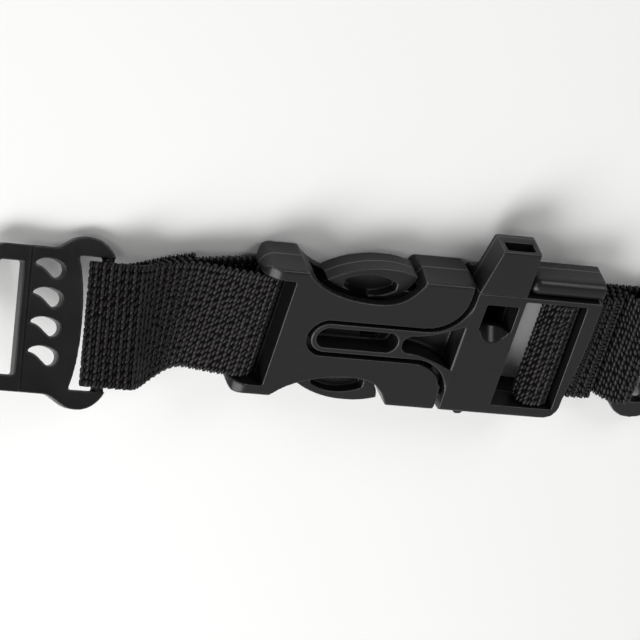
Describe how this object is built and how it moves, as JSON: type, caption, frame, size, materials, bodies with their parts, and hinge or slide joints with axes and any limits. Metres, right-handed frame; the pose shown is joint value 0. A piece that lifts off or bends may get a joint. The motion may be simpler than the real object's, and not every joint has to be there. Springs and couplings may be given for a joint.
{
  "type": "chest strap buckle",
  "caption": "Chest strap with a side-release buckle, a whistle built into the buckle's edge, a ladder-lock adjuster, looped webbing and a moulded anchor plate at each end.",
  "frame": {"origin": "on the back face of the buckle's socket, on the strap's centre line", "axes": "+X along the strap from the socket to the insert, +Y across the strap towards the whistle, +Z out of the buckle's face"},
  "size_m": [0.1695, 0.0418, 0.0216],
  "materials": {
    "moulded_plastic": "satin",
    "webbing": "ribbed weave",
    "thread": "close zigzag stitches"
  },
  "bodies": {
    "socket": {"socket_shell": "moulded_plastic"},
    "insert": {"insert_frame": "moulded_plastic", "whistle_mouthpiece": "moulded_plastic", "whistle_cover": "moulded_plastic", "right_strap": "webbing", "right_bar_tacks": "thread", "tail_hem_stitches": "thread"},
    "upper_arm": {"upper_latch_arm": "moulded_plastic"},
    "lower_arm": {"lower_latch_arm": "moulded_plastic"},
    "left_strap": {"left_strap": "webbing", "left_bar_tacks": "thread"},
    "left_plate": {"left_anchor_plate": "moulded_plastic"},
    "right_plate": {"right_anchor_plate": "moulded_plastic"}
  },
  "joints": [
    {"name": "release_slide", "type": "slide", "parent": "socket", "child": "insert", "axis": [1, 0, 0], "range_m": [0, 0.034], "deforming": ["upper_latch_arm", "lower_latch_arm"]},
    {"name": "upper_arm_squeeze", "type": "hinge", "parent": "insert", "child": "upper_arm", "pos_m": [0.0036, 0.01, 0.0055], "axis": [0, 0, 1], "range_deg": [0, 11], "stiffness_Nm_per_rad": 1},
    {"name": "lower_arm_squeeze", "type": "hinge", "parent": "insert", "child": "lower_arm", "pos_m": [0.0036, -0.01, 0.0055], "axis": [0, 0, -1], "range_deg": [0, 11], "stiffness_Nm_per_rad": 1},
    {"name": "left_strap_swing", "type": "hinge", "parent": "socket", "child": "left_strap", "pos_m": [-0.0379, 0, 0.0055], "axis": [0, 1, 0], "range_deg": [-60, 75]},
    {"name": "left_plate_swing", "type": "hinge", "parent": "left_strap", "child": "left_plate", "pos_m": [-0.0705, -0.0017, 0.0105], "axis": [0, 0.8387, -0.5446], "range_deg": [-70, 70]},
    {"name": "right_plate_swing", "type": "hinge", "parent": "insert", "child": "right_plate", "pos_m": [0.047, 0, 0.004], "axis": [0, 1, 0], "range_deg": [-70, 70]}
  ]
}
